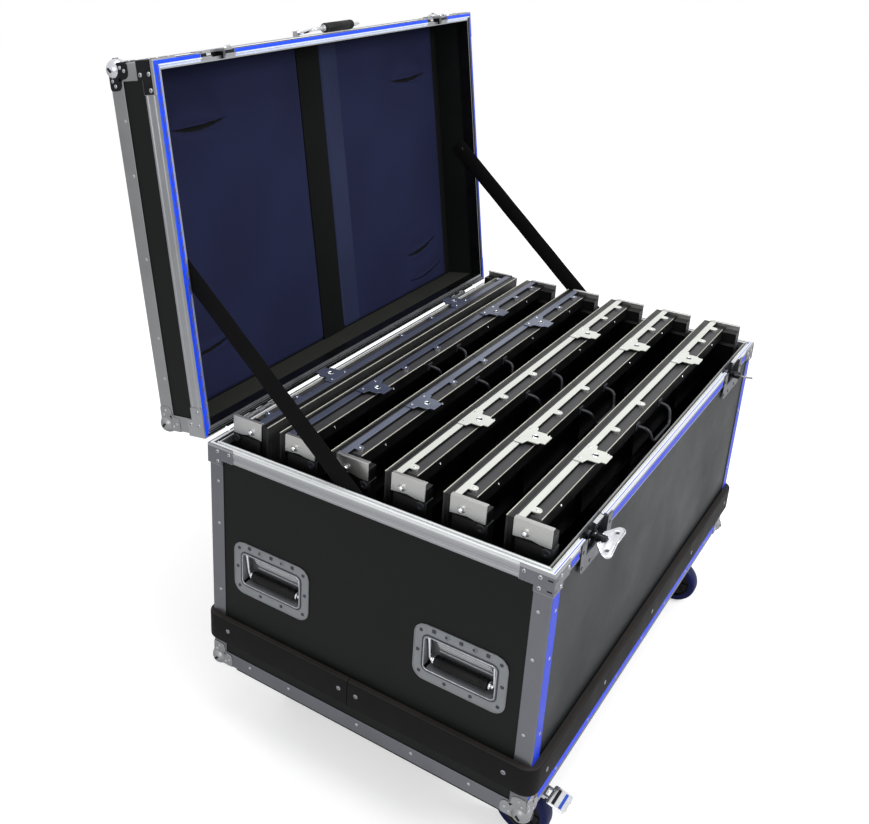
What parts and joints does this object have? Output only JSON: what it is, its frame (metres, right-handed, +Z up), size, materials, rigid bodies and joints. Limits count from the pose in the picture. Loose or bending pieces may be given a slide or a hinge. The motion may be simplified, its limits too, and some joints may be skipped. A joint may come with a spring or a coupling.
{
  "type": "flight case for led screen cabinets",
  "caption": "Flight case with a hinged lid on webbing stays, twist latches, recessed spring handles and swivel casters, holding LED screen cabinets on edge in slotted racks.",
  "frame": {"origin": "on the floor under the middle of the case's base", "axes": "+Z up, +X along the hinge from the end with the brakes to the other, -Y towards the latched front"},
  "size_m": [1.104, 0.9029, 1.3048],
  "materials": {
    "laminate": "plywood under a black plastic laminate with a fine grain",
    "aluminium": "anodised extrusion, satin",
    "zinc": "zinc-plated pressed steel",
    "rubber": "matt black bumper rubber",
    "plywood": "painted black",
    "foam": "closed-cell foam over board, matt black",
    "lining": "navy cloth over thin foam, black strip in the middle",
    "webbing": "woven black webbing",
    "grip": "black grip moulded on a steel bail",
    "caster_steel": "bright zinc plate",
    "wheel": "blue elastic tread on a black core",
    "cabinet": "black painted frame, bright metal edges and plates"
  },
  "bodies": {
    "case": {"back_panel": "laminate", "base_edge_frame": "aluminium", "base_rim": "aluminium", "bottom_panel": "laminate", "bumper_strip": "rubber", "floor_pad": "foam", "front_panel": "laminate", "left_back_caster_plate": "caster_steel", "left_back_handle_dish": "zinc", "left_caster_board": "plywood", "left_front_caster_plate": "caster_steel", "left_front_handle_dish": "zinc", "left_hinge_base_leaf": "zinc", "left_latch_plate": "zinc", "left_panel": "laminate", "left_slot_rack": "foam", "left_stay_strap": "webbing", "right_back_caster_plate": "caster_steel", "right_back_handle_dish": "zinc", "right_caster_board": "plywood", "right_front_caster_plate": "caster_steel", "right_front_handle_dish": "zinc", "right_hinge_base_leaf": "zinc", "right_latch_plate": "zinc", "right_panel": "laminate", "right_slot_rack": "foam", "right_stay_strap": "webbing"},
    "lid": {"lid_top_panel": "laminate", "lid_side_walls": "laminate", "lid_edge_frame": "aluminium", "lid_rim": "aluminium", "lid_lining": "lining", "lid_handle_base": "zinc", "left_hinge_lid_leaf": "zinc", "right_hinge_lid_leaf": "zinc"},
    "left_front_handle": {"left_front_handle_bail": "grip"},
    "left_front_fork": {"left_front_caster_fork": "caster_steel"},
    "left_front_wheel": {"left_front_caster_wheel": "wheel"},
    "left_front_brake": {"left_front_brake_pedal": "caster_steel"},
    "left_back_handle": {"left_back_handle_bail": "grip"},
    "left_back_fork": {"left_back_caster_fork": "caster_steel"},
    "left_back_wheel": {"left_back_caster_wheel": "wheel"},
    "left_back_brake": {"left_back_brake_pedal": "caster_steel"},
    "left_wing": {"left_latch_wing": "zinc"},
    "left_hook": {"left_latch_hook": "zinc"},
    "right_front_handle": {"right_front_handle_bail": "grip"},
    "right_front_fork": {"right_front_caster_fork": "caster_steel"},
    "right_front_wheel": {"right_front_caster_wheel": "wheel"},
    "right_back_handle": {"right_back_handle_bail": "grip"},
    "right_back_fork": {"right_back_caster_fork": "caster_steel"},
    "right_back_wheel": {"right_back_caster_wheel": "wheel"},
    "right_wing": {"right_latch_wing": "zinc"},
    "right_hook": {"right_latch_hook": "zinc"},
    "cabinet_1": {"led_cabinet_1": "cabinet"},
    "cabinet_2": {"led_cabinet_2": "cabinet"},
    "cabinet_3": {"led_cabinet_3": "cabinet"},
    "cabinet_4": {"led_cabinet_4": "cabinet"},
    "cabinet_5": {"led_cabinet_5": "cabinet"},
    "cabinet_6": {"led_cabinet_6": "cabinet"},
    "lid_handle": {"lid_handle_grip": "grip"}
  },
  "joints": [
    {"name": "lid_hinge", "type": "hinge", "parent": "case", "child": "lid", "pos_m": [0, 0.3341, 0.6287], "axis": [-1, 0, 0], "range_deg": [-98.1, 0], "deforming": ["left_stay_strap", "right_stay_strap"]},
    {"name": "left_front_handle_lift", "type": "hinge", "parent": "case", "child": "left_front_handle", "pos_m": [-0.5337, -0.19, 0.4189], "axis": [0, 1, 0], "range_deg": [0, 90], "stiffness_Nm_per_rad": 0.25, "springref_deg": -14.32},
    {"name": "left_front_caster_swivel", "type": "hinge", "parent": "case", "child": "left_front_fork", "pos_m": [-0.416, -0.245, 0.138], "axis": [0, 0, 1], "continuous": true},
    {"name": "left_front_wheel_roll", "type": "hinge", "parent": "left_front_fork", "child": "left_front_wheel", "pos_m": [-0.416, -0.279, 0.05], "axis": [1, 0, 0], "continuous": true},
    {"name": "left_front_brake_press", "type": "hinge", "parent": "left_front_fork", "child": "left_front_brake", "pos_m": [-0.416, -0.2925, 0.1085], "axis": [1, 0, 0], "range_deg": [0, 8]},
    {"name": "left_back_handle_lift", "type": "hinge", "parent": "case", "child": "left_back_handle", "pos_m": [-0.5337, 0.19, 0.4189], "axis": [0, 1, 0], "range_deg": [0, 90], "stiffness_Nm_per_rad": 0.25, "springref_deg": -14.32},
    {"name": "left_back_caster_swivel", "type": "hinge", "parent": "case", "child": "left_back_fork", "pos_m": [-0.416, 0.245, 0.138], "axis": [0, 0, 1], "continuous": true},
    {"name": "left_back_wheel_roll", "type": "hinge", "parent": "left_back_fork", "child": "left_back_wheel", "pos_m": [-0.382, 0.245, 0.05], "axis": [0, 1, 0], "continuous": true},
    {"name": "left_back_brake_press", "type": "hinge", "parent": "left_back_fork", "child": "left_back_brake", "pos_m": [-0.3685, 0.245, 0.1085], "axis": [0, 1, 0], "range_deg": [0, 8]},
    {"name": "left_wing_twist", "type": "hinge", "parent": "case", "child": "left_wing", "pos_m": [-0.381, -0.3275, 0.6098], "axis": [0, 1, 0], "range_deg": [0, 180]},
    {"name": "left_hook_swing", "type": "hinge", "parent": "case", "child": "left_hook", "pos_m": [-0.381, -0.3207, 0.6058], "axis": [-1, 0, 0], "range_deg": [0, 15.01]},
    {"name": "right_front_handle_lift", "type": "hinge", "parent": "case", "child": "right_front_handle", "pos_m": [0.5337, -0.19, 0.4189], "axis": [0, -1, 0], "range_deg": [0, 90], "stiffness_Nm_per_rad": 0.25, "springref_deg": -14.32},
    {"name": "right_front_caster_swivel", "type": "hinge", "parent": "case", "child": "right_front_fork", "pos_m": [0.416, -0.245, 0.138], "axis": [0, 0, 1], "continuous": true},
    {"name": "right_front_wheel_roll", "type": "hinge", "parent": "right_front_fork", "child": "right_front_wheel", "pos_m": [0.416, -0.279, 0.05], "axis": [1, 0, 0], "continuous": true},
    {"name": "right_back_handle_lift", "type": "hinge", "parent": "case", "child": "right_back_handle", "pos_m": [0.5337, 0.19, 0.4189], "axis": [0, -1, 0], "range_deg": [0, 90], "stiffness_Nm_per_rad": 0.25, "springref_deg": -14.32},
    {"name": "right_back_caster_swivel", "type": "hinge", "parent": "case", "child": "right_back_fork", "pos_m": [0.416, 0.245, 0.138], "axis": [0, 0, 1], "continuous": true},
    {"name": "right_back_wheel_roll", "type": "hinge", "parent": "right_back_fork", "child": "right_back_wheel", "pos_m": [0.416, 0.211, 0.05], "axis": [1, 0, 0], "continuous": true},
    {"name": "right_wing_twist", "type": "hinge", "parent": "case", "child": "right_wing", "pos_m": [0.381, -0.3275, 0.6098], "axis": [0, 1, 0], "range_deg": [0, 180]},
    {"name": "right_hook_swing", "type": "hinge", "parent": "case", "child": "right_hook", "pos_m": [0.381, -0.3207, 0.6058], "axis": [-1, 0, 0], "range_deg": [0, 15.01]},
    {"name": "cabinet_1_lift", "type": "slide", "parent": "case", "child": "cabinet_1", "axis": [0, 0, 1], "range_m": [0, 0.48]},
    {"name": "cabinet_2_lift", "type": "slide", "parent": "case", "child": "cabinet_2", "axis": [0, 0, 1], "range_m": [0, 0.48]},
    {"name": "cabinet_3_lift", "type": "slide", "parent": "case", "child": "cabinet_3", "axis": [0, 0, 1], "range_m": [0, 0.48]},
    {"name": "cabinet_4_lift", "type": "slide", "parent": "case", "child": "cabinet_4", "axis": [0, 0, 1], "range_m": [0, 0.48]},
    {"name": "cabinet_5_lift", "type": "slide", "parent": "case", "child": "cabinet_5", "axis": [0, 0, 1], "range_m": [0, 0.48]},
    {"name": "cabinet_6_lift", "type": "slide", "parent": "case", "child": "cabinet_6", "axis": [0, 0, 1], "range_m": [0, 0.48]},
    {"name": "lid_handle_swing", "type": "hinge", "parent": "lid", "child": "lid_handle", "pos_m": [0, 0.47917, 1.28319], "axis": [-1, 0, 0], "range_deg": [0, 120]}
  ],
  "couplings": [
    {"joint": "left_hook_swing", "follows": "left_wing_twist", "ratio": 0.083333},
    {"joint": "right_hook_swing", "follows": "right_wing_twist", "ratio": 0.083333}
  ]
}
